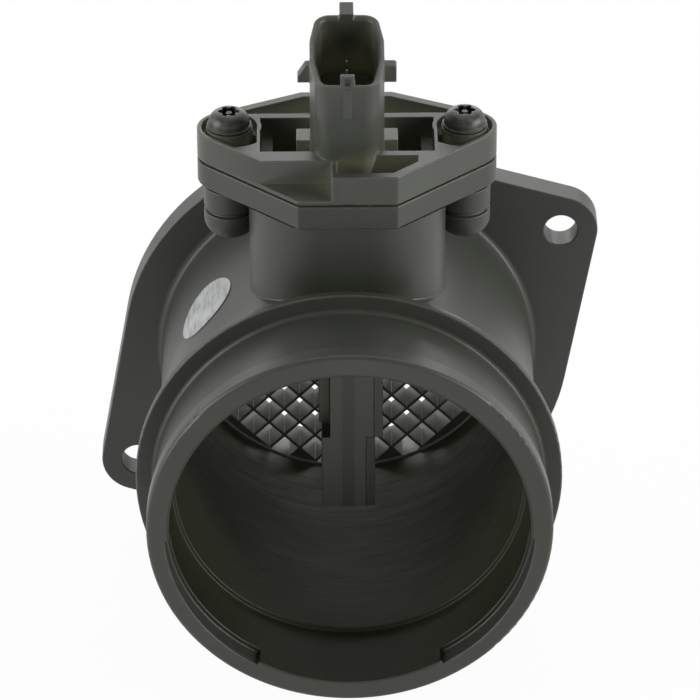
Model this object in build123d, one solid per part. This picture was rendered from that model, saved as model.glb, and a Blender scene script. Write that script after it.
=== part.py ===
from build123d import *
import math
import os

# Mass airflow sensor for an engine's intake duct, in millimetres.
# The tube lies along Y: air enters at +Y through the flow grid and leaves at -Y, where a hose is clamped on.
# +Z points to the connector. The origin is on the tube's axis, at the flange's mating face.

# Driving dimensions: tube
bore_r = 39.0
mouth_step = 1.0
mouth_depth = 20.0
tube_wall = 3.9
outlet_length = 86.5
lip_length = 5.4
lip_height = 1.5
lip_round = 1.0
hose_wall = 3.6
hose_length = 16.2
collar_height = 4.3
collar_length = 2.2
collar_round = 0.4
collar_foot_round = 1.0
relief_depth = 1.1
relief_length = 5.0
relief_start = 3.2
relief_sweep = 56.4

# Driving dimensions: flange, inlet spigot and its seal
flange_thickness = 6.6
flange_rim = 8.95
flange_foot_round = 1.5
ear_hole_x = 49.5
ear_hole_z = 30.8
ear_hole_r = 3.85
ear_wall = 4.65
spigot_wall = 4.6
spigot_length = 21.5
spigot_round = 0.8
shoulder_length = 1.2
flange_seal_r = 1.5
flange_seal_sink = 1.9
flange_seal_land = 0.8
seal_gap = 0.05
groove_side_gap = 0.2

# Driving dimensions: flow grid
grid_start = 3.1
grid_depth = 8.2
grid_seat_wall = 2.9
grid_hoop_wall = 2.0
grid_pitch = 5.15
grid_shift_x = -0.3
grid_shift_z = 2.4
grid_web = 0.65
grid_fit = 0.1
snap_height = 0.5
snap_length = 1.2

# Driving dimensions: neck and the saddle that the sensor is screwed to
plug_y = -37.7
neck_width = 43.8
neck_depth = 38.6
neck_corner_r = 16.8
saddle_z = 60.5
saddle_height = 5.6
face_reach = 19.9
face_width = 21.9
back_width = 20.4
face_corner_r = 0.9
screw_spacing = 52.4
screw_shift = 4.0
screw_ear_r = 7.2
screw_boss_r = 5.9
screw_boss_length = 14.0
screw_boss_round = 4.2
boss_groove_depth = 0.8
boss_groove_height = 1.1
boss_groove_drops = (1.3, 7.6)

# Driving dimensions: cover plate of the sensor
plate_height = 7.4
seam_height = 0.6
seam_depth = 0.6
rim_wall = 2.2
pocket_depth = 5.0
rib_gap = 15.4
rib_width = 2.2
core_depth = 9.6
core_width = 33.0
side_pocket_width = 38.6
front_pocket_end = 15.6
front_pocket_start = -2.3
notch_side = -3.5
notch_depth = 5.9
notch_reach = 7.7
seat_disc_r = 5.2
seat_groove_width = 1.0
seat_groove_depth = 2.4
crescent_r = 9.7
crescent_wall = 1.0
crescent_inner_wall = 0.8
post_bar_length = 22.6
post_bar_width = 5.6

# Driving dimensions: plug that fills the neck, and its seal
plug_width = 36.0
plug_depth = 32.0
plug_corner_r = 14.0
plug_fit = 0.25
plug_length = 27.0
plug_seal_r = 1.4
plug_seal_drop = 11.0

# Driving dimensions: connector socket
socket_lean = 9.8
socket_width = 16.4
socket_depth = 25.8
socket_end_width = 13.5
socket_side_length = 7.4
socket_end_r = 3.6
socket_side_r = 9.0
socket_foot_depth = 22.0
socket_foot_end_width = 10.0
socket_height = 29.0
socket_wall = 1.3
socket_lead_in = 0.8
socket_taper_start = 3.0
socket_taper_end = 20.0
socket_cavity = 16.0
spine_width = 1.6
spine_height = 0.3
tab_width = 3.1
tab_slot_width = 1.3
tab_slot_depth = 0.6
front_tab_root = 1.0
front_tab_height = 2.5
latch_reach = 3.3
latch_height = 3.6
latch_rise = 1.1
latch_bevel = 2.1
lug_reach = 2.7
lug_depth = 2.2
lug_height = 4.6
lug_drop = 3.5
lug_bevel_width = 1.7
lug_bevel_height = 3.0
lug_edge_bevel = 0.4

# Driving dimensions: terminals
terminal_count = 5
terminal_pitch = 3.4
terminal_width = 1.5
terminal_thickness = 0.6
terminal_reach = 8.0
terminal_point = 0.5
terminal_bend_height = 8.0
terminal_foot_height = 0.6

# Driving dimensions: measuring shaft that hangs in the air stream
shaft_lead = 5.6
shaft_length = 21.0
shaft_tip_z = -20.85
channel_top_z = -2.3
body_right = 5.9
body_left = 3.0
cover_thickness = 2.0
channel_half_width = 6.1
rail_left = 6.7
rail_depth = 14.5
wall = 1.6
cover_fit = 0.12
cover_lip = 0.8
channel_size = 5.2
outlet_window = 4.6

# Driving dimensions: electronics
plate_thickness = 1.2
plate_margin = 1.0
board_thickness = 0.8
board_margin = 1.2
board_height = 24.0
board_drop = 5.0
carrier_width = 6.0
carrier_height = 15.0
carrier_thickness = 1.0
circuit_size = 6.0
circuit_height = 1.2
resistor_count = 4
resistor_pitch = 3.2
resistor_width = 1.2
resistor_length = 2.0
resistor_height = 0.7
resistor_edge = 2.0
chip_size = 3.0
chip_thickness = 0.4
probe_r = 1.1
probe_length = 3.6
probe_lead_r = 0.3
probe_notch_height = 10.0
probe_notch_width = 4.0
probe_notch_floor = 0.2
probe_setback = 5.5
probe_z = 10.0

# Driving dimensions: screws
thread_r = 2.0
pilot_gap = 0.05
pilot_spare = 1.0
clearance_hole_gap = 0.3
screw_length = 16.0
screw_flange_r = 5.0
screw_flange_height = 0.7
head_r = 4.6
head_height = 3.1
head_round = 2.6
recess_r = 2.35
recess_depth = 1.5
recess_lobes = 6
recess_lobe_r = 0.62
pin_r = 0.7
pin_height = 1.2

# Driving dimensions: label
label_r = 8.3
label_thickness = 0.2
label_angle = 49.0
label_y = -36.0

# Places worked out from the driving dimensions
tube_r = bore_r + tube_wall
mouth_r = bore_r + mouth_step
hose_r = mouth_r + hose_wall
lip_r = hose_r + lip_height
collar_r = hose_r + collar_height
lip_y = -outlet_length
hose_y = lip_y + lip_length
collar_y = hose_y + hose_length
tube_y = collar_y + collar_length
flange_r = tube_r + flange_rim
flange_ear_r = ear_hole_r + ear_wall
spigot_r = bore_r + spigot_wall
grid_seat_r = spigot_r - grid_seat_wall
grid_end = grid_start + grid_depth
seal_groove_floor = spigot_r - flange_seal_sink
seal_groove_width = 2 * (flange_seal_r + groove_side_gap)
flange_seal_y = shoulder_length + flange_seal_land + seal_groove_width / 2
shoulder_r = seal_groove_floor + 2 * flange_seal_r + 2 * seal_gap
seam_z = saddle_z + saddle_height
plug_seal_sink = 2 * plug_seal_r + 2 * seal_gap - plug_fit
plate_top_z = seam_z + plate_height
floor_z = plate_top_z - pocket_depth
screw_x = screw_spacing / 2
screw_y = plug_y + screw_shift
screw_foot_z = plate_top_z + screw_flange_height - screw_length
shaft_front_y = plug_y - shaft_lead
shaft_back_y = shaft_front_y + shaft_length
shaft_mid_y = (shaft_front_y + shaft_back_y) / 2
plug_bottom_z = seam_z - plug_length
cover_outer = body_right + cover_thickness
channel_face = channel_half_width - cover_thickness
channel_floor = -body_left
channel_high = channel_top_z - wall
channel_low = shaft_tip_z + wall
outlet_y = shaft_back_y - wall - outlet_window
pocket_top_z = plug_bottom_z - wall
pocket_bottom_z = channel_top_z + wall
pocket_front_y = shaft_front_y + wall
pocket_back_y = shaft_back_y - wall
plate_face = -body_left - plate_thickness
board_top_z = pocket_top_z - board_drop
board_bottom_z = board_top_z - board_height
board_face = -body_left + board_thickness
probe_y = shaft_back_y - probe_setback
probe_low = probe_z - probe_notch_height / 2
probe_high = probe_z + probe_notch_height / 2


def box(x0, x1, y0, y1, z0, z1):
    """Box given by its two corners."""
    size = (x1 - x0, y1 - y0, z1 - z0)
    centre = ((x0 + x1) / 2, (y0 + y1) / 2, (z0 + z1) / 2)
    return Pos(*centre) * Box(*size)


def column(radius, x, y, z0, z1):
    """Upright cylinder between two heights."""
    return Pos(x, y, (z0 + z1) / 2) * Cylinder(radius, z1 - z0)


def tube_ring(outer, inner, y0, y1):
    """Ring about the tube's axis."""
    flat = Rot(90, 0, 0) * Cylinder(outer, y1 - y0)
    flat -= Rot(90, 0, 0) * Cylinder(inner, 2 * (y1 - y0))
    return Pos(0, (y0 + y1) / 2, 0) * flat


def rounded_column(width, depth, corner, y, z0, z1):
    """Upright block with rounded corners, centred on the plug's axis."""
    return extrude(Pos(0, y, z0) * RectangleRounded(width, depth, corner), z1 - z0)


def screw_places():
    """Centres of the two cover screws, seen from above."""
    return [(-screw_x, screw_y), (screw_x, screw_y)]


def ear_circles():
    """Round ends of the saddle and of the cover plate, one about each screw."""
    return [Edge.make_circle(screw_ear_r, Plane((x, y, 0))) for x, y in screw_places()]


def plate_outline():
    """Outline of the saddle and the plate on it: flat front and back, slanted sides, round ends."""
    front_y = plug_y - face_reach
    back_y = plug_y + face_reach
    front = [(-face_width / 2, front_y), (face_width / 2, front_y)]
    back = [(-back_width / 2, back_y), (back_width / 2, back_y)]
    outline = make_hull([Edge.make_line(*front), Edge.make_line(*back), *ear_circles()])
    corners = [outline.vertices().sort_by_distance(place)[0] for place in front + back]
    return fillet(corners, face_corner_r)


def tube_profile():
    """Half section of the tube: lip, hose seat, collar, body and inlet spigot, with a stepped bore."""
    flange_y = -flange_thickness
    foot_r = tube_r + flange_rim / 2
    points = [
        (mouth_r, lip_y),
        (lip_r, lip_y),
        (lip_r, hose_y),
        (hose_r, hose_y),
        (hose_r, collar_y),
        (collar_r, collar_y),
        (collar_r, tube_y),
        (tube_r, tube_y),
        (tube_r, flange_y),
        (foot_r, flange_y),
        (foot_r, 0),
        (shoulder_r, 0),
        (shoulder_r, shoulder_length),
        (spigot_r, shoulder_length),
        (spigot_r, spigot_length),
        (grid_seat_r, spigot_length),
        (grid_seat_r, grid_start),
        (bore_r, grid_start),
        (bore_r, lip_y + mouth_depth),
        (mouth_r, lip_y + mouth_depth),
    ]
    section = make_face(Polyline(*points, close=True))
    rounds = [
        ((lip_r, lip_y), lip_round),
        ((lip_r, hose_y), lip_round),
        ((hose_r, collar_y), collar_foot_round),
        ((collar_r, collar_y), collar_round),
        ((collar_r, tube_y), collar_round),
        ((tube_r, flange_y), flange_foot_round),
        ((spigot_r, spigot_length), spigot_round),
    ]
    for place, radius in rounds:
        section = fillet(section.vertices().sort_by_distance(place)[0], radius)
    return section


def mouth_relief(start):
    """Shallow arc cut into the lip's bore, which lets the mould's core turn free."""
    profile = Pos(mouth_r, lip_y + relief_length / 2) * Rectangle(2 * relief_depth, relief_length)
    return Rot(0, start, 0) * revolve(profile, Axis.Y, relief_sweep)


def flange():
    """Mating flange: a round disc with two opposite ears for the fixing bolts."""
    ears = [(ear_hole_x, ear_hole_z), (-ear_hole_x, -ear_hole_z)]
    edges = [Edge.make_circle(flange_r)]
    edges += [Edge.make_circle(flange_ear_r, Plane((x, z, 0))) for x, z in ears]
    outline = make_hull(edges) - Circle(tube_r)
    for x, z in ears:
        outline -= Pos(x, z) * Circle(ear_hole_r)
    return extrude(Plane.XZ * outline, flange_thickness)


def screw_boss(x, y):
    """Round boss under a saddle ear, with two grooves round it and a rounded end."""
    bottom = saddle_z - screw_boss_length
    boss = column(screw_boss_r, x, y, bottom, saddle_z)
    boss = fillet(boss.edges().sort_by(Axis.Z)[0], screw_boss_round)
    ring = Circle(2 * screw_boss_r) - Circle(screw_boss_r - boss_groove_depth)
    for drop in boss_groove_drops:
        boss -= extrude(Pos(x, y, saddle_z - drop) * ring, boss_groove_height)
    return boss


def neck():
    """Rounded column from the tube up to the saddle, with the screw bosses beside it."""
    body = rounded_column(neck_width, neck_depth, neck_corner_r, plug_y, 0, saddle_z)
    for x, y in screw_places():
        body += screw_boss(x, y)
    body += extrude(Pos(0, 0, saddle_z) * plate_outline(), saddle_height)
    middle_r = bore_r + tube_wall / 2
    return body - Rot(90, 0, 0) * Cylinder(middle_r, 4 * outlet_length)


def housing():
    """Moulded tube with flange, neck, saddle and screw bosses."""
    body = revolve(tube_profile(), Axis.Y) + flange() + neck()
    body -= rounded_column(plug_width, plug_depth, plug_corner_r, plug_y, 0, seam_z)
    for x, y in screw_places():
        body -= column(thread_r + pilot_gap, x, y, screw_foot_z - pilot_spare, seam_z)
    for start in (relief_start, 180 - relief_start - relief_sweep):
        body -= mouth_relief(start)
    groove_y = flange_seal_y - seal_groove_width / 2
    body -= tube_ring(2 * spigot_r, seal_groove_floor, groove_y, groove_y + seal_groove_width)
    snap_r = grid_seat_r - snap_height
    body += tube_ring(grid_seat_r + grid_seat_wall / 2, snap_r, grid_end, grid_end + snap_length)
    return body


def flow_grid():
    """Square mesh turned through 45 degrees inside a hoop, which straightens the incoming air."""
    hoop_r = grid_seat_r - grid_fit
    open_r = hoop_r - grid_hoop_wall
    cell = grid_pitch - grid_web
    half = grid_pitch / math.sqrt(2)
    reach = int(open_r / half) + 1
    places = [
        (grid_shift_x + (i - j) * half, grid_shift_z + (i + j) * half)
        for i in range(-reach, reach + 1)
        for j in range(-reach, reach + 1)
    ]
    cells = [(x, z) for x, z in places if math.hypot(x, z) < open_r]
    openings = Sketch() + [Pos(x, z) * Rectangle(cell, cell, 45) for x, z in cells]
    openings = openings & Circle(open_r)
    face = Circle(hoop_r) - openings
    return extrude(Plane.XZ.offset(-grid_end) * face, grid_depth)


def flange_seal():
    """Ring seal on the inlet spigot."""
    middle = seal_groove_floor + seal_gap + flange_seal_r
    ring = Torus(middle, flange_seal_r)
    return Pos(0, flange_seal_y, 0) * Rot(90, 0, 0) * ring


def socket_outline(depth, end_width, inset=0):
    """Outline of the socket from above: straight sides that taper in to a flat front and back."""
    side = socket_width / 2 - inset
    end = end_width / 2 - inset
    half = depth / 2 - inset
    middle = socket_side_length / 2
    quarter = [(side, middle), (end, half)]
    points = quarter + [(-x, y) for x, y in reversed(quarter)]
    points += [(-x, -y) for x, y in points]
    outline = make_face(Polyline(*points, close=True))
    ends = [outline.vertices().sort_by_distance((x, y))[0] for x in (-end, end) for y in (-half, half)]
    outline = fillet(ends, socket_end_r - inset)
    sides = [outline.vertices().sort_by_distance((x, y))[0] for x in (-side, side) for y in (-middle, middle)]
    return fillet(sides, socket_side_r)


def foot_outline():
    """Outline of the connector's foot, where it stands on the plug."""
    return socket_outline(socket_foot_depth, socket_foot_end_width)


def middle_pocket(width):
    """Pocket between the two cross ribs, with the low bar through the connector's foot left standing."""
    return Rectangle(width, rib_gap) - Rectangle(post_bar_length, post_bar_width)


def plate_pockets(inside):
    """Pockets moulded into the top of the cover plate, which leave the rim and two cross ribs standing."""
    rib_outer = rib_gap / 2 + rib_width
    width = front_pocket_end - front_pocket_start
    step = rib_outer + face_reach / 2
    behind = Pos(0, step) * Rectangle(screw_spacing, face_reach)
    ahead = Pos(front_pocket_start + width / 2, -step) * Rectangle(width, face_reach)
    pockets = (Pos(0, plug_y) * (middle_pocket(side_pocket_width) + behind + ahead)) & inside
    for x, y in screw_places():
        pockets -= Pos(x, y) * Circle(screw_ear_r)
    return pockets


def screw_seat(x, y, near_rim):
    """Hollows round a screw: a narrow ring groove, and in front of it a deep crescent inside the rim."""
    seat = Pos(x, y) * Circle(seat_disc_r)
    groove = ((Pos(x, y) * Circle(seat_disc_r + seat_groove_width)) & near_rim) - seat
    ahead = Pos(x, y - crescent_r) * Rectangle(2 * crescent_r, 2 * crescent_r)
    crescent = (Pos(x, y) * Circle(crescent_r)) & ahead & near_rim
    crescent -= Pos(0, plug_y) * Rectangle(side_pocket_width + 2 * crescent_inner_wall, 2 * face_reach)
    hollow = extrude(Pos(0, 0, plate_top_z - seat_groove_depth) * groove, seat_groove_depth)
    return hollow + extrude(Pos(0, 0, floor_z) * (crescent - seat), pocket_depth)


def cover_plate():
    """Ribbed plate that closes the neck, with an ear at each screw and an open notch at the front left."""
    outline = plate_outline()
    plate = extrude(Pos(0, 0, seam_z) * outline, plate_height)
    inside = offset(outline, -rim_wall)
    near_rim = offset(outline, -crescent_wall)
    plate -= extrude(Pos(0, 0, floor_z) * plate_pockets(inside), pocket_depth)
    seam = outline - offset(outline, -seam_depth)
    plate -= extrude(Pos(0, 0, seam_z) * seam, seam_height)
    for x, y in screw_places():
        plate -= screw_seat(x, y, near_rim)
        plate -= column(thread_r + clearance_hole_gap, x, y, seam_z, plate_top_z)
    front_y = plug_y - face_reach
    notch_z = plate_top_z - notch_depth
    return plate - box(-face_width, notch_side, 2 * front_y, front_y + notch_reach, notch_z, 2 * plate_top_z)


def socket_plane():
    """Plane at the foot of the connector, leaning towards the outlet."""
    lean = math.radians(socket_lean)
    return Plane(origin=(0, plug_y, floor_z), x_dir=(1, 0, 0), z_dir=(0, -math.sin(lean), math.cos(lean)))


def socket_shell():
    """Connector socket: a tapered foot that grows into an upright collar with a deep cavity."""
    foot = foot_outline()
    top = socket_outline(socket_depth, socket_end_width)
    shell = extrude(Pos(0, 0, -pocket_depth / 2) * foot, pocket_depth / 2 + socket_taper_start)
    shell += loft([Pos(0, 0, socket_taper_start) * foot, Pos(0, 0, socket_taper_end) * top])
    shell += extrude(Pos(0, 0, socket_taper_end) * top, socket_height - socket_taper_end)
    return shell - socket_cavity_space()


def socket_cavity_space():
    """Cavity of the socket, with a lead-in at its mouth that leaves a thin rim."""
    low = socket_height - socket_lead_in
    throat = socket_outline(socket_depth, socket_end_width, socket_wall)
    mouth = socket_outline(socket_depth, socket_end_width, socket_wall - socket_lead_in)
    cavity = extrude(Pos(0, 0, socket_height - socket_cavity) * throat, socket_cavity)
    return cavity + loft([Pos(0, 0, low) * throat, Pos(0, 0, socket_height) * mouth])


def lug(bevel_width, bevel_height):
    """Locking lug on the socket's right side, with its outer top corner cut off."""
    inner = socket_width / 2 - socket_wall
    outer = socket_width / 2 + lug_reach
    top = socket_height - lug_drop
    low = top - lug_height
    corner = [(outer, top - bevel_height), (outer - bevel_width, top)]
    face = Plane.XZ * make_face(Polyline((inner, low), (outer, low), *corner, (inner, top), close=True))
    return extrude(face, lug_depth / 2, both=True)


def front_tab():
    """Slotted guide tab on the socket's front rim, with a slim spine below it."""
    front = -socket_depth / 2
    root = socket_height - front_tab_root
    top = socket_height + front_tab_height
    half = tab_width / 2
    slot = tab_slot_width / 2
    spine = spine_width / 2
    tab = box(-half, half, front, front + socket_wall, root, top)
    tab -= box(-slot, slot, front, front + tab_slot_depth, root, top - slot)
    return tab + box(-spine, spine, front - spine_height, front + spine_height, socket_taper_end, root)


def socket_trim():
    """Guide tab at the front, latch at the back and a locking lug on each side."""
    half = tab_width / 2
    back = socket_depth / 2
    latch_top = socket_height + latch_rise
    latch = box(-half, half, back - socket_wall, back + latch_reach, latch_top - latch_height, latch_top)
    underside = latch.edges().filter_by(Axis.X).sort_by(lambda e: e.center().Z - e.center().Y)[0]
    left_lug = mirror(lug(lug_bevel_width, lug_bevel_height), Plane.YZ)
    right_lug = lug(lug_edge_bevel, lug_edge_bevel)
    return front_tab() + chamfer(underside, latch_bevel) + left_lug + right_lug


def plug():
    """Block that fills the neck, cored between the ribs, with a groove for its seal."""
    width = plug_width - 2 * plug_fit
    depth = plug_depth - 2 * plug_fit
    corner = plug_corner_r - plug_fit
    body = rounded_column(width, depth, corner, plug_y, plug_bottom_z, seam_z)
    sink = plug_seal_sink
    height = 2 * (plug_seal_r + groove_side_gap)
    low = seam_z - plug_seal_drop - height / 2
    outside = RectangleRounded(2 * plug_width, 2 * plug_depth, plug_corner_r)
    groove = outside - RectangleRounded(width - 2 * sink, depth - 2 * sink, corner - sink)
    return body - extrude(Pos(0, plug_y, low) * groove, height)


def core():
    """Deep hollow in the plug on each side of the connector's foot, which keeps the moulding's walls even."""
    outline = middle_pocket(core_width) - foot_outline()
    return extrude(Pos(0, plug_y, floor_z - core_depth) * outline, core_depth)


def channel_path(shrink, x0, x1):
    """Measuring passage: in at the leading face, up at the front and back over the chip."""
    front = pocket_front_y
    size = channel_size
    low = channel_low + shrink
    high = channel_high - shrink
    back = outlet_y + outlet_window / 2 - shrink
    path = box(x0, x1, front + shrink, shaft_back_y, low, channel_low + size - shrink)
    path += box(x0, x1, front + shrink, front + size - shrink, low, high)
    return path + box(x0, x1, front + shrink, back, channel_high - size + shrink, high)


def carrier_block(gap, z0, z1):
    """Space of the chip carrier between two heights, with a gap round it."""
    half = carrier_width / 2 + gap
    face = channel_floor + carrier_thickness + gap
    return box(channel_floor, face, shaft_mid_y - half, shaft_mid_y + half, z0, z1)


def shaft():
    """Flat shaft in the air stream: a compartment for the electronics above, the measuring passage below."""
    upper = box(-body_left, body_right, shaft_front_y, shaft_back_y, channel_top_z, plug_bottom_z)
    lower = box(-channel_half_width, channel_face, shaft_front_y, shaft_back_y, shaft_tip_z, channel_top_z)
    rail = box(-rail_left, -body_left, shaft_back_y - rail_depth, shaft_back_y, channel_top_z, plug_bottom_z)
    lip = box(plate_face, -body_left, shaft_front_y, pocket_front_y, channel_top_z, plug_bottom_z)
    body = upper + lower + rail + lip
    body -= box(channel_floor, body_right, pocket_front_y, pocket_back_y, pocket_bottom_z, pocket_top_z)
    body -= channel_path(0, channel_floor, channel_face)
    body -= carrier_block(cover_fit, channel_high, pocket_bottom_z)
    half = probe_notch_width / 2
    notch_x = plate_face - probe_notch_floor
    return body - box(-rail_left, notch_x, probe_y - half, probe_y + half, probe_low, probe_high)


def sensor_body(plate_insert, terminals):
    """One moulding: cover plate, connector socket, plug and shaft, moulded round its metal inserts."""
    body = cover_plate() + plug() - core()
    body += shaft()
    body += socket_plane() * (socket_shell() + socket_trim())
    body -= plate_insert
    for terminal in terminals:
        body -= terminal
    return body


def base_plate():
    """Aluminium plate that carries the electronics and closes the compartment on the left."""
    front = pocket_front_y - plate_margin
    back = pocket_back_y + plate_margin
    low = pocket_bottom_z - plate_margin
    return box(plate_face, -body_left, front, back, low, pocket_top_z + plate_margin)


def circuit_board():
    """Ceramic board bonded to the base plate, with its flat components."""
    front = pocket_front_y + board_margin
    back = pocket_back_y - board_margin
    board = box(-body_left, board_face, front, back, board_bottom_z, board_top_z)
    middle = (board_bottom_z + board_top_z) / 2
    circuit = Box(circuit_height, circuit_size, circuit_size)
    board += Pos(board_face + circuit_height / 2, shaft_mid_y, middle) * circuit
    low = board_bottom_z + resistor_edge
    half = resistor_width / 2
    for step in range(resistor_count):
        y = shaft_mid_y + (step - (resistor_count - 1) / 2) * resistor_pitch
        board += box(board_face, board_face + resistor_height, y - half, y + half, low, low + resistor_length)
    return board


def terminal(index):
    """Flat terminal: a leaning blade in the socket, a straight run down the plug and a foot on the board."""
    place = (index - (terminal_count - 1) / 2) * terminal_pitch
    lean = math.radians(socket_lean)
    low_y = shaft_mid_y + place
    tip_height = socket_height - socket_cavity + terminal_reach

    def along(height):
        y = plug_y + place * math.cos(lean) - height * math.sin(lean)
        return y, floor_z + place * math.sin(lean) + height * math.cos(lean)

    shoulder = along(tip_height - terminal_width)
    bend = along(0)
    low_z = board_top_z - terminal_width
    knee_z = bend[1] - terminal_bend_height
    half = terminal_width / 2
    tip = along(tip_height)
    point = terminal_point / 2
    path = [(tip, point), (shoulder, half), (bend, half), ((low_y, knee_z), half), ((low_y, low_z), half)]
    left = [(y - reach, z) for (y, z), reach in path]
    right = [(y + reach, z) for (y, z), reach in reversed(path)]
    face = Plane.YZ * make_face(Polyline(*left, *right, close=True))
    blade = Pos(-terminal_thickness / 2, 0, 0) * extrude(face, terminal_thickness)
    return blade + box(board_face, 0, low_y - half, low_y + half, low_z, low_z + terminal_foot_height)


def channel_cover():
    """Cover of the measuring passage, with the outlet window."""
    cover = box(channel_face, channel_half_width, shaft_front_y, shaft_back_y, shaft_tip_z, channel_top_z)
    cover += channel_path(cover_fit, channel_face - cover_lip, channel_face)
    window = Box(channel_half_width, outlet_window - 2 * cover_fit, outlet_window - 2 * cover_fit)
    return cover - Pos(channel_half_width, outlet_y, channel_high - channel_size / 2) * window


def electronics_cover():
    """Cover of the electronics compartment, with a locating panel inside."""
    cover = box(body_right, cover_outer, shaft_front_y, shaft_back_y, channel_top_z, plug_bottom_z)
    front = pocket_front_y + cover_fit
    back = pocket_back_y - cover_fit
    low = pocket_bottom_z + cover_fit
    return cover + box(body_right - cover_lip, body_right, front, back, low, pocket_top_z - cover_fit)


def chip_carrier():
    """Flat carrier that reaches from the base plate down into the measuring passage."""
    bottom = channel_high - channel_size + cover_fit
    return carrier_block(0, bottom, bottom + carrier_height) - sensor_chip()


def sensor_chip():
    """Silicon chip with the heated membrane, flush in its carrier."""
    x = channel_floor + carrier_thickness - chip_thickness / 2
    return Pos(x, shaft_mid_y, channel_high - channel_size / 2) * Box(chip_thickness, chip_size, chip_size)


def temperature_sensor():
    """Bead thermistor on two straight leads, held in a notch of the shaft."""
    x = (-rail_left + plate_face - probe_notch_floor) / 2
    bead = Pos(x, probe_y, probe_z) * Cylinder(probe_r, probe_length)
    bead = fillet(bead.edges(), probe_r / 2)
    return bead + column(probe_lead_r, x, probe_y, probe_low, probe_high)


def plug_seal():
    """Ring seal in the plug's groove, pressed against the neck's bore."""
    inner = plug_fit + plug_seal_sink
    offset_in = inner - seal_gap - plug_seal_r
    width = plug_width - 2 * offset_in
    depth = plug_depth - 2 * offset_in
    corner = plug_corner_r - offset_in
    path = Pos(0, plug_y, seam_z - plug_seal_drop) * RectangleRounded(width, depth, corner)
    wire = path.wire()
    section = Plane(wire @ 0, z_dir=wire % 0) * Circle(plug_seal_r)
    return sweep(section, wire)


def screw(x, y):
    """Tamper-proof button-head screw: six-lobed recess with a pin in the middle."""
    base = plate_top_z + screw_flange_height
    top = base + head_height
    head = column(head_r, x, y, base, top)
    head = fillet(head.edges().sort_by(Axis.Z)[-1], head_round)
    body = column(screw_flange_r, x, y, plate_top_z, base) + head
    lobe_place = recess_r - recess_lobe_r
    recess = Circle(lobe_place)
    recess += PolarLocations(lobe_place, recess_lobes) * Circle(recess_lobe_r)
    body -= extrude(Pos(x, y, top - recess_depth) * recess, recess_depth)
    pin_top = top - recess_depth + pin_height
    body += column(pin_r, x, y, base, pin_top)
    return body + column(thread_r, x, y, screw_foot_z, plate_top_z)


def label():
    """Round bare label that follows the curve of the tube."""
    shell = tube_ring(tube_r + label_thickness, tube_r, label_y - label_r, label_y + label_r)
    punch = Pos(0, 0, tube_r) * Cylinder(label_r, tube_r)
    return shell & (Pos(0, label_y, 0) * Rot(0, -label_angle, 0) * punch)


def main():
    plate_insert = base_plate()
    terminals = [terminal(index) for index in range(terminal_count)]
    nodes = {
        "housing": housing(),
        "flow_grid": flow_grid(),
        "flange_seal": flange_seal(),
        "sensor_body": sensor_body(plate_insert, terminals),
        "plug_seal": plug_seal(),
        "base_plate": plate_insert,
        "circuit_board": circuit_board(),
        "chip_carrier": chip_carrier(),
        "sensor_chip": sensor_chip(),
        "temperature_sensor": temperature_sensor(),
        "channel_cover": channel_cover(),
        "electronics_cover": electronics_cover(),
        "screw_left": screw(-screw_x, screw_y),
        "screw_right": screw(screw_x, screw_y),
        "label": label(),
    }
    for index, piece in enumerate(terminals):
        nodes[f"terminal_{index + 1}"] = piece
    os.makedirs("parts", exist_ok=True)
    for name, shape in nodes.items():
        export_step(shape, f"parts/{name}.step")


main()
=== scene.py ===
import math

import bmesh
import bpy
from mathutils import Matrix, Vector
from mathutils.bvhtree import BVHTree


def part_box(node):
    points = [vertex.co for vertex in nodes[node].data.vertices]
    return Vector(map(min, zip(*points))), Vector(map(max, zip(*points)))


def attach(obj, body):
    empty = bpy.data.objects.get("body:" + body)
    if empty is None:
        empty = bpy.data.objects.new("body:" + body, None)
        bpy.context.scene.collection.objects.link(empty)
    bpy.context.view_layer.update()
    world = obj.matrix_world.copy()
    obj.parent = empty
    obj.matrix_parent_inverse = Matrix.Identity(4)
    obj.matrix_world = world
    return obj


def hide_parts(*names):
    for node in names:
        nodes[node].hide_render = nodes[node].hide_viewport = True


# Mass airflow sensor of an engine's intake, put together in the order of assembly, in metres.
# The tube lies along Y and air leaves at its -Y end; +Z points to the connector.
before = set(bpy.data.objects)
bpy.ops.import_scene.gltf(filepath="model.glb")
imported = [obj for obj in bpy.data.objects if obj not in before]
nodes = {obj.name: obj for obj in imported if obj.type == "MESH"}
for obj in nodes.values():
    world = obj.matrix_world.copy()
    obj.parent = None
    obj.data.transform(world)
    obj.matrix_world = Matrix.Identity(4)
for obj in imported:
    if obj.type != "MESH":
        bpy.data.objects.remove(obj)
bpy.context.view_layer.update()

# Housing: tube, flange, neck, saddle and screw bosses, moulded in one piece from glass-filled nylon.
# The skin has a fine even grain and faint flow marks. Its edges are slightly round and rubbed paler, which also
# paints an edge highlight, and its hollows take an olive tint of painted shade.


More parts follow.
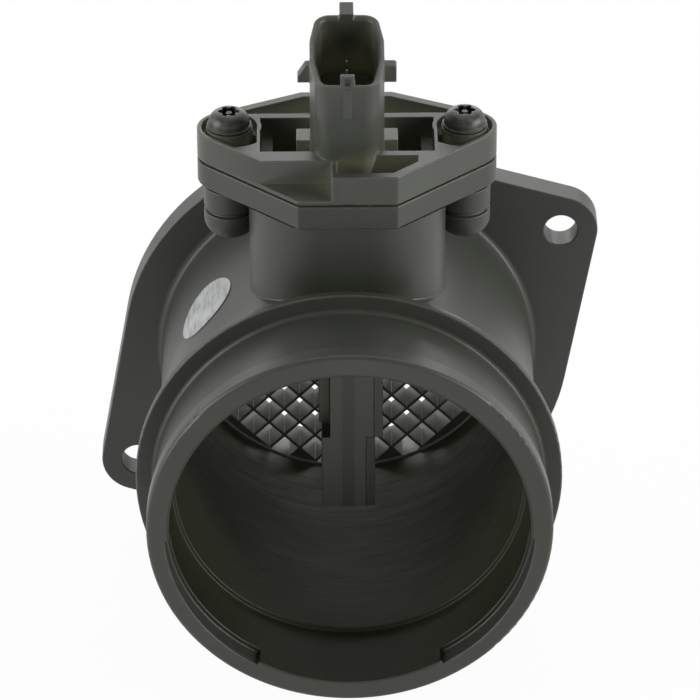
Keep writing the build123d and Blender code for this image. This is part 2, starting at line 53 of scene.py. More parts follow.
def rounded_skin(name, node, width, steps=3, corner=60.0, foot=(0.0, 0.0)):
    """A closed copy of a CAD node with its sharp edges rounded, which then stands for that node.

    Edges that turn by more than corner degrees are rounded. Inner edges between the two places of foot
    along the tube are rounded from a lower angle up, and no rounded point strays far from the CAD surface.
    """
    weld = 2e-6
    flat = math.radians(0.05)
    sharp_turn = math.radians(corner)
    inner_turn = math.radians(50.0)
    smooth_turn = math.radians(48.0)
    stray = 0.8 * width
    skin = bmesh.new()
    skin.from_mesh(nodes[node].data)
    bmesh.ops.remove_doubles(skin, verts=skin.verts, dist=weld)
    bmesh.ops.dissolve_limit(skin, angle_limit=flat, verts=skin.verts, edges=skin.edges)
    before = BVHTree.FromBMesh(skin)
    joined = [e for e in skin.edges if len(e.link_faces) == 2]
    sharp = [e for e in joined if e.calc_face_angle() > sharp_turn]
    sharp += [
        e for e in joined
        if sharp_turn >= e.calc_face_angle() > inner_turn and not e.is_convex
        and foot[0] < e.verts[0].co.y < foot[1]
    ]
    bmesh.ops.bevel(
        skin, geom=sharp, offset=width, offset_type="OFFSET", segments=steps, profile=0.5,
        affect="EDGES", material=-1, clamp_overlap=False,
    )
    for point in skin.verts:
        nearest, _, _, distance = before.find_nearest(point.co)
        if distance > stray:
            point.co = nearest
    mesh = bpy.data.meshes.new(name)
    skin.to_mesh(mesh)
    skin.free()
    mesh.materials.clear()
    mesh.shade_smooth()
    mesh.set_sharp_from_angle(angle=smooth_turn)
    piece = bpy.data.objects.new(name, mesh)
    bpy.context.scene.collection.objects.link(piece)
    even = piece.modifiers.new("even_normals", "WEIGHTED_NORMAL")
    even.keep_sharp = True
    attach(piece, "root")
    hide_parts(node)
    return piece


def new_group(name, inputs, outputs):
    """An empty shader group with named number sockets, and its two end nodes."""
    group = bpy.data.node_groups.new(name, "ShaderNodeTree")
    for label, kind, value in inputs:
        socket = group.interface.new_socket(name=label, in_out="INPUT", socket_type=kind)
        if value is not None:
            socket.default_value = value
    for label, kind in outputs:
        group.interface.new_socket(name=label, in_out="OUTPUT", socket_type=kind)
    return group, group.nodes.new("NodeGroupInput"), group.nodes.new("NodeGroupOutput")


def noise(tree, place, scale, detail, rough=0.5):
    """A noise texture on object coordinates."""
    texture = tree.nodes.new("ShaderNodeTexNoise")
    texture.inputs["Scale"].default_value = scale
    texture.inputs["Detail"].default_value = detail
    texture.inputs["Roughness"].default_value = rough
    tree.links.new(place, texture.inputs["Vector"])
    return texture


def remap(tree, value, low, high, new_low=0.0, new_high=1.0):
    """A smooth change of range, clamped at both ends."""
    change = tree.nodes.new("ShaderNodeMapRange")
    change.interpolation_type = "SMOOTHSTEP"
    for label, number in (("From Min", low), ("From Max", high), ("To Min", new_low), ("To Max", new_high)):
        change.inputs[label].default_value = number
    tree.links.new(value, change.inputs["Value"])
    return change.outputs["Result"]


def combine(tree, kind, first, second):
    """One maths node on two sockets, or on a socket and a number."""
    sums = tree.nodes.new("ShaderNodeMath")
    sums.operation = kind
    for slot, value in zip(sums.inputs, (first, second)):
        if isinstance(value, float):
            slot.default_value = value
        else:
            tree.links.new(value, slot)
    return sums.outputs[0]


# Edge wear and painted light: outer edges rub pale, partly as real wear and partly as a painted edge highlight.
# Hollows found by occlusion give a mask where each material lays its hollow colour: painted shade when that
# colour is darker than the plastic, painted fill light when it is paler.
rub_reach = 0.0022
hollow_reach = 0.01
wear_highlight_and_shade, wear_in, wear_out = new_group(
    "wear_highlight_and_shade",
    [("Width", "NodeSocketFloat", 0.0006)],
    [("Rubbed_Highlight", "NodeSocketFloat"), ("Hollow", "NodeSocketFloat")],
)
rounding = wear_highlight_and_shade.nodes.new("ShaderNodeBevel")
rounding.samples = 4
wear_highlight_and_shade.links.new(wear_in.outputs["Width"], rounding.inputs["Radius"])
facing = wear_highlight_and_shade.nodes.new("ShaderNodeNewGeometry")
turned = wear_highlight_and_shade.nodes.new("ShaderNodeVectorMath")
turned.operation = "DOT_PRODUCT"
wear_highlight_and_shade.links.new(rounding.outputs["Normal"], turned.inputs[0])
wear_highlight_and_shade.links.new(facing.outputs["Normal"], turned.inputs[1])
# The rubbed mask: pale on open outer edges, real wear and painted edge highlight.
bend = remap(wear_highlight_and_shade, turned.outputs["Value"], 0.999, 0.93)
shelter = wear_highlight_and_shade.nodes.new("ShaderNodeAmbientOcclusion")
shelter.samples = 6
shelter.inputs["Distance"].default_value = rub_reach
open_air = remap(wear_highlight_and_shade, shelter.outputs["AO"], 0.72, 0.95)
spot_place = wear_highlight_and_shade.nodes.new("ShaderNodeTexCoord")
patches = noise(wear_highlight_and_shade, spot_place.outputs["Object"], 420.0, 3.0)
broken = remap(wear_highlight_and_shade, patches.outputs["Fac"], 0.34, 0.62, 0.45, 1.0)
rubbed_highlight = combine(wear_highlight_and_shade, "MULTIPLY", combine(wear_highlight_and_shade, "MULTIPLY", bend, open_air), broken)
wear_highlight_and_shade.links.new(rubbed_highlight, wear_out.inputs["Rubbed_Highlight"])
# The hollow mask: occlusion within a centimetre, on which materials lay painted shade and painted fill light.
hollow = wear_highlight_and_shade.nodes.new("ShaderNodeAmbientOcclusion")
hollow.samples = 6
hollow.inputs["Distance"].default_value = hollow_reach
wear_highlight_and_shade.links.new(remap(wear_highlight_and_shade, hollow.outputs["AO"], 0.25, 0.8, 1.0, 0.0), wear_out.inputs["Hollow"])

# Moulded grain: the spark-eroded texture of the mould, from less than a tenth of a millimetre to half of one,
# with slow flow marks where the melt ran.
moulded_grain, grain_in, grain_out = new_group(
    "moulded_grain",
    [("Grain", "NodeSocketFloat", 3200.0), ("Flow", "NodeSocketFloat", 26.0)],
    [("Height", "NodeSocketFloat"), ("Patch", "NodeSocketFloat"), ("Speck", "NodeSocketFloat")],
)
grain_place = moulded_grain.nodes.new("ShaderNodeTexCoord").outputs["Object"]
fine = noise(moulded_grain, grain_place, 3200.0, 2.0, 0.6)
moulded_grain.links.new(grain_in.outputs["Grain"], fine.inputs["Scale"])
coarse = noise(moulded_grain, grain_place, 900.0, 2.0)
flow = noise(moulded_grain, grain_place, 26.0, 3.0, 0.55)
flow.inputs["Distortion"].default_value = 0.8
moulded_grain.links.new(grain_in.outputs["Flow"], flow.inputs["Scale"])
heights = combine(moulded_grain, "ADD", fine.outputs["Fac"], coarse.outputs["Fac"])
moulded_grain.links.new(combine(moulded_grain, "MULTIPLY", heights, 0.5), grain_out.inputs["Height"])
moulded_grain.links.new(remap(moulded_grain, flow.outputs["Fac"], 0.3, 0.7), grain_out.inputs["Patch"])
moulded_grain.links.new(remap(moulded_grain, fine.outputs["Fac"], 0.62, 0.74), grain_out.inputs["Speck"])


def blend_colour(tree, factor, first, second):
    """A colour mix by a mask; each colour is a socket or written numbers."""
    mix = tree.nodes.new("ShaderNodeMix")
    mix.data_type = "RGBA"
    tree.links.new(factor, mix.inputs["Factor"])
    for slot, value in ((mix.inputs["A"], first), (mix.inputs["B"], second)):
        if isinstance(value, tuple):
            slot.default_value = (*value, 1.0)
        else:
            tree.links.new(value, slot)
    return mix.outputs["Result"]


def finish_of(name, metallic=0.0):
    """A new material with a Principled shader, ready for its colour, roughness and bump."""
    material = bpy.data.materials.new(name)
    material.use_nodes = True
    shader = material.node_tree.nodes["Principled BSDF"]
    shader.inputs["Metallic"].default_value = metallic
    return material, material.node_tree, shader


def bumped(tree, shader, height, depth):
    """A bump of the given depth in metres on the shader's normal."""
    bump = tree.nodes.new("ShaderNodeBump")
    bump.inputs["Strength"].default_value = 1.0
    bump.inputs["Distance"].default_value = depth
    tree.links.new(height, bump.inputs["Height"])
    tree.links.new(bump.outputs["Normal"], shader.inputs["Normal"])


def moulded_plastic(name, colour, pale, hollow_colour, rough, grain=3200.0, depth=0.00002, wear=0.0006):
    """Glass-filled plastic: its own colour with flow patches and pale specks. Its pale edges are partly rubbed
    wear and partly painted highlight. Its hollows take the hollow colour, as painted shade where that colour is
    darker than the plastic and as painted fill light where it is paler.
    """
    material, tree, shader = finish_of(name)
    marks = tree.nodes.new("ShaderNodeGroup")
    marks.node_tree = moulded_grain
    marks.inputs["Grain"].default_value = grain
    edges = tree.nodes.new("ShaderNodeGroup")
    edges.node_tree = wear_highlight_and_shade
    edges.inputs["Width"].default_value = wear
    patchy = tuple(c * 0.86 for c in colour)
    skin = blend_colour(tree, marks.outputs["Patch"], patchy, colour)
    specks = blend_colour(tree, combine(tree, "MULTIPLY", marks.outputs["Speck"], 0.35), skin, pale)
    # Hollows take the hollow colour: painted shade where it is darker than the plastic, painted fill light
    # where it is paler.
    hollow_toned = blend_colour(tree, combine(tree, "MULTIPLY", edges.outputs["Hollow"], 0.85), specks, hollow_colour)
    # Edges take the pale colour: real wear and painted edge highlight.
    worn_and_highlit = blend_colour(tree, combine(tree, "MULTIPLY", edges.outputs["Rubbed_Highlight"], 0.8), hollow_toned, pale)
    tree.links.new(worn_and_highlit, shader.inputs["Base Color"])
    shine = remap(tree, marks.outputs["Patch"], 0.0, 1.0, rough + 0.04, rough - 0.04)
    polished = combine(tree, "SUBTRACT", shine, combine(tree, "MULTIPLY", edges.outputs["Rubbed_Highlight"], 0.08))
    tree.links.new(polished, shader.inputs["Roughness"])
    bumped(tree, shader, marks.outputs["Height"], depth)
    return material


# The hollow colour is an olive tint of painted shade, and the pale colour is edge wear and painted highlight.
housing_plastic = moulded_plastic(
    "housing_plastic", (0.035, 0.0375, 0.0295), (0.09, 0.093, 0.084), (0.037, 0.041, 0.027), 0.45
)


def axis_distance(tree, place):
    """Distance of a shading point from the tube's axis."""
    flat = tree.nodes.new("ShaderNodeVectorMath")
    flat.operation = "MULTIPLY"
    flat.inputs[1].default_value = (1.0, 0.0, 1.0)
    tree.links.new(place, flat.inputs[0])
    radius = tree.nodes.new("ShaderNodeVectorMath")
    radius.operation = "LENGTH"
    tree.links.new(flat.outputs["Vector"], radius.inputs[0])
    return radius.outputs["Value"]


# The bore's colour is painted light and shade: very dark at the mouth as painted shade, paler towards the flow
# grid as painted light coming through the grid, with faint darker rings.
painted_bore_radius = 0.0406
mouth_shade_span = (-0.085, -0.03)
grid_light_span = (-0.03, -0.004)
painted_shade_at_mouth = (0.01, 0.012, 0.004)
painted_light_halfway = (0.1, 0.112, 0.066)
painted_light_at_grid = (0.3, 0.32, 0.21)
film_ring = (0.02, 0.024, 0.01)
bore = housing_plastic.node_tree
bore_shader = bore.nodes["Principled BSDF"]
outer_skin = bore_shader.inputs["Base Color"].links[0].from_socket
bore_place = bore.nodes.new("ShaderNodeTexCoord").outputs["Object"]
rings = bore.nodes.new("ShaderNodeMapping")
rings.inputs["Scale"].default_value = (0.1, 1.0, 0.1)
bore.links.new(bore_place, rings.inputs["Vector"])
film_rings = noise(bore, rings.outputs["Vector"], 700.0, 4.0, 0.6)
along = bore.nodes.new("ShaderNodeSeparateXYZ")
bore.links.new(bore_place, along.inputs["Vector"])
# Along the tube the bore goes from painted shade at the mouth to painted light towards the grid.
shaded_from_mouth = blend_colour(bore, remap(bore, along.outputs["Y"], *mouth_shade_span), painted_shade_at_mouth, painted_light_halfway)
lit_towards_grid = blend_colour(bore, remap(bore, along.outputs["Y"], *grid_light_span), shaded_from_mouth, painted_light_at_grid)
ring_marks = remap(bore, film_rings.outputs["Fac"], 0.35, 0.7, 0.0, 0.4)
ringed_painted_bore = blend_colour(bore, ring_marks, lit_towards_grid, film_ring)
inside = combine(bore, "LESS_THAN", axis_distance(bore, bore_place), painted_bore_radius)
bore.links.new(blend_colour(bore, inside, outer_skin, ringed_painted_bore), bore_shader.inputs["Base Color"])
housing = rounded_skin("moulded_housing", "housing", 0.0003, corner=75.0, foot=(-0.06, -0.015))
housing.data.materials.append(housing_plastic)

# Flow grid: a thin diamond grid in a hoop, snapped into the inlet spigot to straighten the air.
# It is moulded from a greyer plastic with thin smooth webs. Its pale edges are partly painted highlight, its
# hollows are darkened as painted shade, and the hoop's front carries a pale painted highlight.
hoop_radius = 0.03845
hoop_front = 0.0036
painted_hoop_highlight = (0.6, 0.6, 0.57)
grid_plastic = moulded_plastic(
    "grid_plastic", (0.17, 0.176, 0.155), (0.3, 0.305, 0.29), (0.12, 0.125, 0.1), 0.4,
    grain=4200.0, depth=0.00001, wear=0.0003,
)
mesh_tree = grid_plastic.node_tree
mesh_shader = mesh_tree.nodes["Principled BSDF"]
web_skin = mesh_shader.inputs["Base Color"].links[0].from_socket
mesh_place = mesh_tree.nodes.new("ShaderNodeTexCoord").outputs["Object"]
on_hoop = combine(mesh_tree, "GREATER_THAN", axis_distance(mesh_tree, mesh_place), hoop_radius)
mesh_depth = mesh_tree.nodes.new("ShaderNodeSeparateXYZ")
mesh_tree.links.new(mesh_place, mesh_depth.inputs["Vector"])
at_front = combine(mesh_tree, "LESS_THAN", mesh_depth.outputs["Y"], hoop_front)
# The hoop's front gets a pale painted highlight.
hoop_highlighted = blend_colour(mesh_tree, combine(mesh_tree, "MULTIPLY", on_hoop, at_front), web_skin, painted_hoop_highlight)
mesh_tree.links.new(hoop_highlighted, mesh_shader.inputs["Base Color"])
grid = rounded_skin("flow_straightener", "flow_grid", 0.0001, 2)
grid.data.materials.append(grid_plastic)

# Flange seal: a black rubber ring of round section in the spigot's groove, pressed into the air box's hole.
# Its skin is matt, with a faint bloom and fine moulding speckle.


def rubber(name, colour, bloom):
    """Matt black rubber with a faint grey bloom."""
    material, tree, shader = finish_of(name)
    place = tree.nodes.new("ShaderNodeTexCoord").outputs["Object"]
    cloud = noise(tree, place, 160.0, 4.0)
    speckle = noise(tree, place, 2600.0, 2.0)
    tone = blend_colour(tree, remap(tree, cloud.outputs["Fac"], 0.4, 0.72), colour, bloom)
    tree.links.new(tone, shader.inputs["Base Color"])
    tree.links.new(remap(tree, cloud.outputs["Fac"], 0.3, 0.7, 0.58, 0.72), shader.inputs["Roughness"])
    bumped(tree, shader, speckle.outputs["Fac"], 0.000015)
    return material


seal_rubber = rubber("seal_rubber", (0.018, 0.018, 0.019), (0.05, 0.05, 0.052))
nodes["flange_seal"].data.materials.clear()
nodes["flange_seal"].data.materials.append(seal_rubber)

# Label: a round film sticker pressed on the tube's left side, left bare.
# It is satin grey film whose face is softly streaked and clouded by handling.
label_film, film, film_shader = finish_of("label_film")
film_place = film.nodes.new("ShaderNodeTexCoord").outputs["Object"]
streaks = film.nodes.new("ShaderNodeMapping")
streaks.inputs["Scale"].default_value = (1.0, 0.25, 2.2)
film.links.new(film_place, streaks.inputs["Vector"])
rubs = noise(film, streaks.outputs["Vector"], 620.0, 4.0, 0.65)
clouds = noise(film, film_place, 230.0, 3.0)
smeared = remap(film, rubs.outputs["Fac"], 0.42, 0.66)
streaked = blend_colour(film, smeared, (0.31, 0.32, 0.315), (0.2, 0.21, 0.21))
cloudy = remap(film, clouds.outputs["Fac"], 0.4, 0.7, 0.0, 0.6)
clouded = blend_colour(film, cloudy, streaked, (0.42, 0.43, 0.42))
film.links.new(clouded, film_shader.inputs["Base Color"])
film.links.new(remap(film, rubs.outputs["Fac"], 0.35, 0.7, 0.32, 0.5), film_shader.inputs["Roughness"])
bumped(film, film_shader, rubs.outputs["Fac"], 0.00001)
nodes["label"].data.materials.clear()
nodes["label"].data.materials.append(label_film)

# Sensor body: cover plate with its ribs and pockets, plug, shaft and connector socket, one moulding.
# It is the same dark glass-filled plastic, moulded in a smoother mould, with crisp ribs. Its pale edges are
# partly painted highlight, and its hollows are painted paler as painted fill light.
sensor_dark = (0.053, 0.0565, 0.046)
sensor_pale = (0.112, 0.116, 0.105)
sensor_plastic = moulded_plastic(
    "sensor_plastic", sensor_dark, sensor_pale, (0.085, 0.09, 0.072), 0.44, grain=3600.0, depth=0.000016
)

# The shaft inside the bore is painted paler, painted light like the bore's. The socket and the deepest pockets
# are painted pale, painted fill light in their shade.
# The slim spine on the socket's front lies behind the plug's clip and isn't rubbed, so it has no pale edges and
# no painted highlight.
air_radius = 0.0405
painted_shaft_light = (0.105, 0.109, 0.086)
painted_fill_light = (0.6, 0.57, 0.38)
socket_depth_axis = (0.0, 0.9854, 0.1702)
socket_front = -0.0377
socket_half_width = 0.0071
socket_floor = (0.082, 0.086)
spine_half_width = 0.0014
body = sensor_plastic.node_tree
body_shader = body.nodes["Principled BSDF"]
body_place = body.nodes.new("ShaderNodeTexCoord").outputs["Object"]
bare_skin = body_shader.inputs["Base Color"].links[0].from_socket
hollows = next(n for n in body.nodes if n.type == "GROUP" and n.node_tree == wear_highlight_and_shade).outputs["Hollow"]
# Inside the bore the shaft is painted paler, painted light.
in_air = combine(body, "LESS_THAN", axis_distance(body, body_place), air_radius)
shaft_lit = blend_colour(body, combine(body, "MULTIPLY", in_air, 0.85), bare_skin, painted_shaft_light)
body_axes = body.nodes.new("ShaderNodeSeparateXYZ")
body.links.new(body_place, body_axes.inputs["Vector"])
leaning = body.nodes.new("ShaderNodeVectorMath")
leaning.operation = "DOT_PRODUCT"
leaning.inputs[1].default_value = socket_depth_axis
body.links.new(body_place, leaning.inputs[0])
aside = combine(body, "ABSOLUTE", body_axes.outputs["X"], 0.0)
behind_front = combine(body, "GREATER_THAN", leaning.outputs["Value"], socket_front)
between_walls = combine(body, "MULTIPLY", combine(body, "LESS_THAN", aside, socket_half_width), behind_front)
in_socket = combine(body, "MULTIPLY", remap(body, body_axes.outputs["Z"], *socket_floor), between_walls)
# The socket's hollows and the deepest pockets are painted pale, painted fill light.
deepest = remap(body, hollows, 0.8, 1.0, 0.0, 0.3)
fill_light_mask = combine(body, "MAXIMUM", combine(body, "MULTIPLY", in_socket, hollows), deepest)
fill_lit = blend_colour(body, fill_light_mask, shaft_lit, painted_fill_light)
on_front = combine(body, "LESS_THAN", leaning.outputs["Value"], socket_front)
on_spine = combine(body, "MULTIPLY", combine(body, "LESS_THAN", aside, spine_half_width), on_front)
unrubbed = blend_colour(body, combine(body, "MULTIPLY", on_spine, 0.85), fill_lit, sensor_dark)
body.links.new(unrubbed, body_shader.inputs["Base Color"])
sensor = rounded_skin("moulded_sensor", "sensor_body", 0.00022)
sensor.data.materials.append(sensor_plastic)

# Base plate: an aluminium sheet that carries the electronics on the shaft's left side.
# It is rolled and stamped, so fine lines run up it, and its bare skin has gone dull in the air.


def metal(name, colour, dark, rough, stretch, scale, depth):
    """Metal with fine lines along one direction and a slow change of tone, darkened in its hollows as painted
    shade.
    """
    material, tree, shader = finish_of(name, 1.0)
    lines = tree.nodes.new("ShaderNodeMapping")
    lines.inputs["Scale"].default_value = stretch
    tree.links.new(tree.nodes.new("ShaderNodeTexCoord").outputs["Object"], lines.inputs["Vector"])
    brushed = noise(tree, lines.outputs["Vector"], scale, 3.0)
    edges = tree.nodes.new("ShaderNodeGroup")
    edges.node_tree = wear_highlight_and_shade
    edges.inputs["Width"].default_value = 0.0003
    tone = blend_colour(tree, remap(tree, brushed.outputs["Fac"], 0.3, 0.7), dark, colour)
    # Hollows are darkened to the dark colour, painted shade.
    tree.links.new(blend_colour(tree, edges.outputs["Hollow"], tone, dark), shader.inputs["Base Color"])
    shine = remap(tree, brushed.outputs["Fac"], 0.3, 0.7, rough + 0.08, rough - 0.05)
    tree.links.new(shine, shader.inputs["Roughness"])
    bumped(tree, shader, brushed.outputs["Fac"], depth)
    return material


base_sheet = rounded_skin("stamped_base", "base_plate", 0.0001, 2)
base_sheet.data.materials.append(
    metal("base_aluminium", (0.3, 0.3, 0.29), (0.2, 0.2, 0.19), 0.45, (1.0, 1.0, 0.05), 3000.0, 0.000006)
)

# Circuit board: white alumina ceramic with a black chip and a row of resistors, bonded to the base plate.
# The parts stand proud of the board, so the material takes their colour from their height.
board_low, board_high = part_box("circuit_board")
board_thickness = 0.00085
board_face = board_low.x + board_thickness
part_black = (0.03, 0.031, 0.033)
board_ceramic, ceramic, ceramic_shader = finish_of("board_ceramic")
ceramic_place = ceramic.nodes.new("ShaderNodeTexCoord").outputs["Object"]
height = ceramic.nodes.new("ShaderNodeSeparateXYZ")
ceramic.links.new(ceramic_place, height.inputs["Vector"])
fired = noise(ceramic, ceramic_place, 900.0, 3.0)
on_part = combine(ceramic, "GREATER_THAN", height.outputs["X"], board_face)
clay = blend_colour(ceramic, fired.outputs["Fac"], (0.72, 0.71, 0.66), (0.8, 0.79, 0.75))
fired_shine = remap(ceramic, fired.outputs["Fac"], 0.3, 0.7, 0.5, 0.65)
ceramic.links.new(blend_colour(ceramic, on_part, clay, part_black), ceramic_shader.inputs["Base Color"])
ceramic.links.new(fired_shine, ceramic_shader.inputs["Roughness"])
bumped(ceramic, ceramic_shader, fired.outputs["Fac"], 0.000008)
board = rounded_skin("ceramic_board", "circuit_board", 0.00008, 2)
board.data.materials.append(board_ceramic)

# Chip carrier: a flat piece of black moulding compound that holds the chip in the measuring passage.
# It is hard and slightly glossy, with a fine fleck. Its hollows are darkened as painted shade, and its pale
# edges are partly painted highlight.
carrier_plastic = moulded_plastic(
    "carrier_plastic", (0.03, 0.031, 0.033), (0.09, 0.092, 0.095), (0.012, 0.012, 0.012), 0.3,
    grain=5200.0, depth=0.000006, wear=0.0002,
)
carrier = rounded_skin("chip_holder", "chip_carrier", 0.00008, 2)
carrier.data.materials.append(carrier_plastic)

# Sensor chip: polished silicon with the heated membrane as a paler square in its middle.
# It is flush in the carrier and only a few millimetres wide.
membrane_half = 0.0007
chip_low, chip_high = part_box("sensor_chip")
chip_middle = (chip_low + chip_high) / 2
chip_silicon, silicon, silicon_shader = finish_of("chip_silicon", 1.0)
silicon_place = silicon.nodes.new("ShaderNodeMapping")
silicon_place.inputs["Location"].default_value = -chip_middle
silicon.links.new(silicon.nodes.new("ShaderNodeTexCoord").outputs["Object"], silicon_place.inputs["Vector"])
across = silicon.nodes.new("ShaderNodeSeparateXYZ")
silicon.links.new(silicon_place.outputs["Vector"], across.inputs["Vector"])
wide = combine(silicon, "ABSOLUTE", across.outputs["Y"], 0.0)
tall = combine(silicon, "ABSOLUTE", across.outputs["Z"], 0.0)
membrane = combine(silicon, "LESS_THAN", combine(silicon, "MAXIMUM", wide, tall), membrane_half)
wafer = noise(silicon, silicon_place.outputs["Vector"], 1800.0, 2.0)
blue = blend_colour(silicon, wafer.outputs["Fac"], (0.3, 0.32, 0.36), (0.36, 0.38, 0.41))
polish = remap(silicon, wafer.outputs["Fac"], 0.3, 0.7, 0.08, 0.16)
silicon.links.new(blend_colour(silicon, membrane, blue, (0.55, 0.5, 0.36)), silicon_shader.inputs["Base Color"])
silicon.links.new(polish, silicon_shader.inputs["Roughness"])
nodes["sensor_chip"].data.materials.clear()
nodes["sensor_chip"].data.materials.append(chip_silicon)

# Temperature sensor: a glazed bead thermistor held on two tinned leads in the shaft's notch.
# The bead is amber-brown glass and the leads are bright, so the colour changes past the bead's ends.
bead_half = 0.00185
bead_low, bead_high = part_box("temperature_sensor")
bead_middle = (bead_low + bead_high) / 2
thermistor_glass, glaze, glaze_shader = finish_of("thermistor_glass")
glaze_place = glaze.nodes.new("ShaderNodeMapping")
glaze_place.inputs["Location"].default_value = -bead_middle
glaze.links.new(glaze.nodes.new("ShaderNodeTexCoord").outputs["Object"], glaze_place.inputs["Vector"])
reach = glaze.nodes.new("ShaderNodeSeparateXYZ")
glaze.links.new(glaze_place.outputs["Vector"], reach.inputs["Vector"])
on_lead = combine(glaze, "GREATER_THAN", combine(glaze, "ABSOLUTE", reach.outputs["Z"], 0.0), bead_half)
swirl = noise(glaze, glaze_place.outputs["Vector"], 1500.0, 3.0)
amber = blend_colour(glaze, swirl.outputs["Fac"], (0.16, 0.07, 0.03), (0.28, 0.13, 0.05))
glaze.links.new(blend_colour(glaze, on_lead, amber, (0.6, 0.6, 0.58)), glaze_shader.inputs["Base Color"])
glaze.links.new(on_lead, glaze_shader.inputs["Metallic"])
glaze.links.new(remap(glaze, swirl.outputs["Fac"], 0.3, 0.7, 0.14, 0.28), glaze_shader.inputs["Roughness"])
nodes["temperature_sensor"].data.materials.clear()
nodes["temperature_sensor"].data.materials.append(thermistor_glass)

# Terminals: five flat tinned copper blades, stamped and bent, from the socket down to the board.
# Their stamped edges are a little round and the tin is dull and streaked along the blade.
terminal_metal = metal(
    "terminal_metal", (0.42, 0.41, 0.37), (0.28, 0.27, 0.23), 0.42, (1.0, 1.0, 0.12), 2400.0, 0.000005
)
for number in range(1, 6):
    blade = rounded_skin(f"terminal_blade_{number}", f"terminal_{number}", 0.00008, 2)
    blade.data.materials.append(terminal_metal)

# Covers: two thin plastic lids glued over the shaft's right side, on the electronics and on the passage.
# They are moulded from the sensor's plastic, smoother than the shaft. Their hollows are painted paler as
# painted fill light, and their pale edges are partly painted highlight.
cover_plastic = moulded_plastic(
    "cover_plastic", sensor_dark, sensor_pale, (0.09, 0.097, 0.065), 0.4, grain=4200.0, depth=0.00001
)
for name, node in (("electronics_lid", "electronics_cover"), ("passage_lid", "channel_cover")):
    lid = rounded_skin(name, node, 0.00015, 2)
    lid.data.materials.append(cover_plastic)

# Plug seal: a ring of the flange seal's black rubber, stretched into the groove round the plug.
# It is squeezed between the plug and the neck when the sensor goes in.
nodes["plug_seal"].data.materials.clear()
nodes["plug_seal"].data.materials.append(seal_rubber)

# Cover screws: two tamper-proof button-head screws with a six-lobed recess and a pin.
# They are rolled steel with a dark zinc finish. Their edges are slightly worn and paler, as wear and painted
# highlight, and their hollows are darkened as painted shade.
screw_steel, dark_zinc, zinc_shader = finish_of("screw_steel", 0.4)
zinc_place = dark_zinc.nodes.new("ShaderNodeTexCoord").outputs["Object"]
stains = noise(dark_zinc, zinc_place, 700.0, 4.0)
dents = noise(dark_zinc, zinc_place, 2600.0, 2.0)
zinc_edges = dark_zinc.nodes.new("ShaderNodeGroup")
zinc_edges.node_tree = wear_highlight_and_shade
zinc_edges.inputs["Width"].default_value = 0.0004
stained = remap(dark_zinc, stains.outputs["Fac"], 0.35, 0.65)
zinc = blend_colour(dark_zinc, stained, (0.045, 0.045, 0.04), (0.08, 0.081, 0.073))
# Hollows are darkened almost to black, painted shade.
shaded = blend_colour(dark_zinc, zinc_edges.outputs["Hollow"], zinc, (0.015, 0.015, 0.014))
# Edges are paler: real wear and painted highlight.
bare_highlit_edges = combine(dark_zinc, "MULTIPLY", zinc_edges.outputs["Rubbed_Highlight"], 0.7)
worn_highlit_zinc = blend_colour(dark_zinc, bare_highlit_edges, shaded, (0.2, 0.2, 0.19))
dark_zinc.links.new(worn_highlit_zinc, zinc_shader.inputs["Base Color"])
zinc_shine = remap(dark_zinc, stains.outputs["Fac"], 0.3, 0.7, 0.38, 0.52)
dark_zinc.links.new(zinc_shine, zinc_shader.inputs["Roughness"])
bumped(dark_zinc, zinc_shader, dents.outputs["Fac"], 0.000012)
for side in ("left", "right"):
    screw = rounded_skin(f"button_screw_{side}", f"screw_{side}", 0.00012, 2)
    screw.data.materials.append(screw_steel)

# Camera: a long lens more than a metre away, looking down into the outlet end.
# It stands almost straight in front of the tube and is turned and rolled by less than a degree.
elevation = math.radians(30.96)
turn = math.radians(-0.401)
roll = math.radians(-0.189)
eye = Vector((-0.0069, -1.0948, 0.6518))
lens = bpy.data.cameras.new("studio_camera")
lens.lens = 279.04
lens.sensor_width = 36.0
lens.clip_start = 0.05
lens.clip_end = 20.0
camera = bpy.data.objects.new("studio_camera", lens)
aim = Matrix.Rotation(turn, 4, "Z") @ Matrix.Rotation(math.pi / 2 - elevation, 4, "X")
aim = aim @ Matrix.Rotation(roll, 4, "Z")
camera.matrix_world = Matrix.Translation(eye) @ aim
bpy.context.scene.collection.objects.link(camera)
bpy.context.scene.camera = camera

# Surround: plain white to the eye and through openings. For reflections and light it is a white tent
# that darkens upwards and towards the camera, and reflections see it twice as bright as the light it gives.
scene = bpy.context.scene
scene.view_settings.view_transform = "Standard"
world = bpy.data.worlds.new("studio_surround")
scene.world = world
world.use_nodes = True
sky = world.node_tree
sky.nodes.clear()
output = sky.nodes.new("ShaderNodeOutputWorld")
white = sky.nodes.new("ShaderNodeBackground")
white.inputs["Color"].default_value = (1.0, 1.0, 1.0, 1.0)
white.inputs["Strength"].default_value = 1.0
tent = sky.nodes.new("ShaderNodeBackground")
tent.inputs["Color"].default_value = (1.0, 1.0, 1.0, 1.0)
direction = sky.nodes.new("ShaderNodeSeparateXYZ")
sky.links.new(sky.nodes.new("ShaderNodeTexCoord").outputs["Generated"], direction.inputs["Vector"])
upward = remap(sky, direction.outputs["Z"], 0.05, 0.85, 1.0, 0.3)
forward = remap(sky, direction.outputs["Y"], -0.9, 0.2, 0.5, 1.0)
falloff = combine(sky, "MULTIPLY", upward, forward)
path = sky.nodes.new("ShaderNodeLightPath")
share = combine(sky, "ADD", combine(sky, "MULTIPLY", path.outputs["Is Glossy Ray"], 0.5), 0.5)
sky.links.new(combine(sky, "MULTIPLY", falloff, share), tent.inputs["Strength"])
plain = combine(sky, "MAXIMUM", path.outputs["Is Camera Ray"], path.outputs["Is Transmission Ray"])
mix = sky.nodes.new("ShaderNodeMixShader")
sky.links.new(plain, mix.inputs[0])
sky.links.new(tent.outputs[0], mix.inputs[1])
sky.links.new(white.outputs[0], mix.inputs[2])
sky.links.new(mix.outputs[0], output.inputs["Surface"])

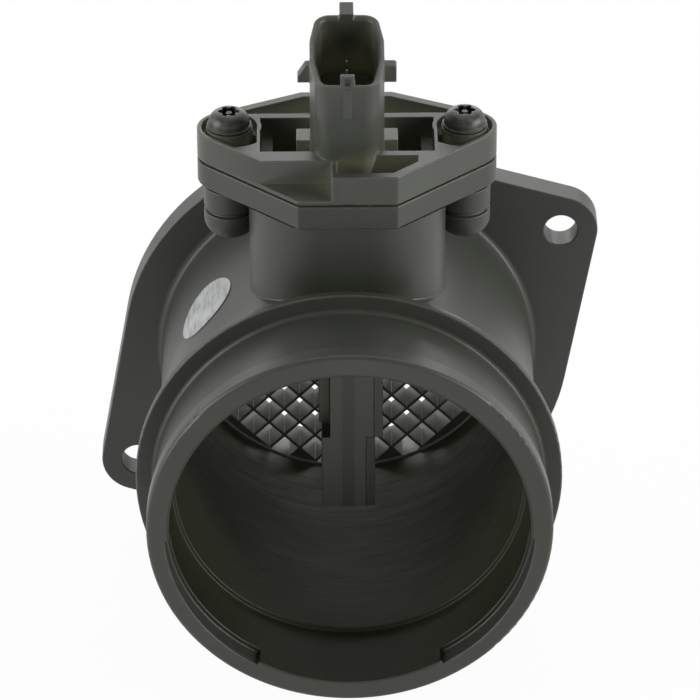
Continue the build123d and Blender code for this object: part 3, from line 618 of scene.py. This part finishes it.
# Lamps: a soft box on each side, one low behind that shines through the grid, and a weak wide one above.
# Each looks at the tube's middle and is out of the camera's sight.
for name, place, size, power in (
    ("left_box", (-1.3, -0.4, 0.45), (1.0, 0.8), 14.5),
    ("right_box", (1.3, -0.4, 0.45), (1.0, 0.8), 18.5),
    ("back_box", (0.0, 1.3, 0.4), (1.4, 0.7), 8.0),
    ("top_box", (0.0, 0.5, 1.2), (1.4, 1.0), 6.0),
):
    lamp = bpy.data.lights.new(name, "AREA")
    lamp.shape = "RECTANGLE"
    lamp.size, lamp.size_y = size
    lamp.energy = power
    holder = bpy.data.objects.new(name, lamp)
    holder.location = place
    holder.visible_camera = False
    holder.rotation_euler = (-Vector(place)).to_track_quat("-Z", "Y").to_euler()
    scene.collection.objects.link(holder)

# Floor: a plain white table right under the flange's lowest edge.
# It fades into the surround and keeps a faint shadow of the tube.
floor_height = -0.0519
floor_half = 3.0
floor_white_share = 0.95
sheet = bmesh.new()
floor_place = Matrix.Translation((0.0, 0.0, floor_height))
bmesh.ops.create_grid(sheet, x_segments=1, y_segments=1, size=floor_half, matrix=floor_place)
floor_mesh = bpy.data.meshes.new("floor")
sheet.to_mesh(floor_mesh)
sheet.free()
floor = bpy.data.objects.new("floor", floor_mesh)
scene.collection.objects.link(floor)
table_white, table, table_shader = finish_of("table_white")
table_shader.inputs["Base Color"].default_value = (0.9, 0.9, 0.9, 1.0)
table_shader.inputs["Roughness"].default_value = 0.9
glow = table.nodes.new("ShaderNodeEmission")
glow.inputs["Strength"].default_value = 1.0
table_path = table.nodes.new("ShaderNodeLightPath")
fade = table.nodes.new("ShaderNodeMixShader")
shown = combine(table, "MAXIMUM", table_path.outputs["Is Camera Ray"], table_path.outputs["Is Glossy Ray"])
table.links.new(combine(table, "MULTIPLY", shown, floor_white_share), fade.inputs[0])
table.links.new(table_shader.outputs[0], fade.inputs[1])
table.links.new(glow.outputs[0], fade.inputs[2])
table.links.new(fade.outputs[0], table.nodes["Material Output"].inputs["Surface"])
floor_mesh.materials.append(table_white)
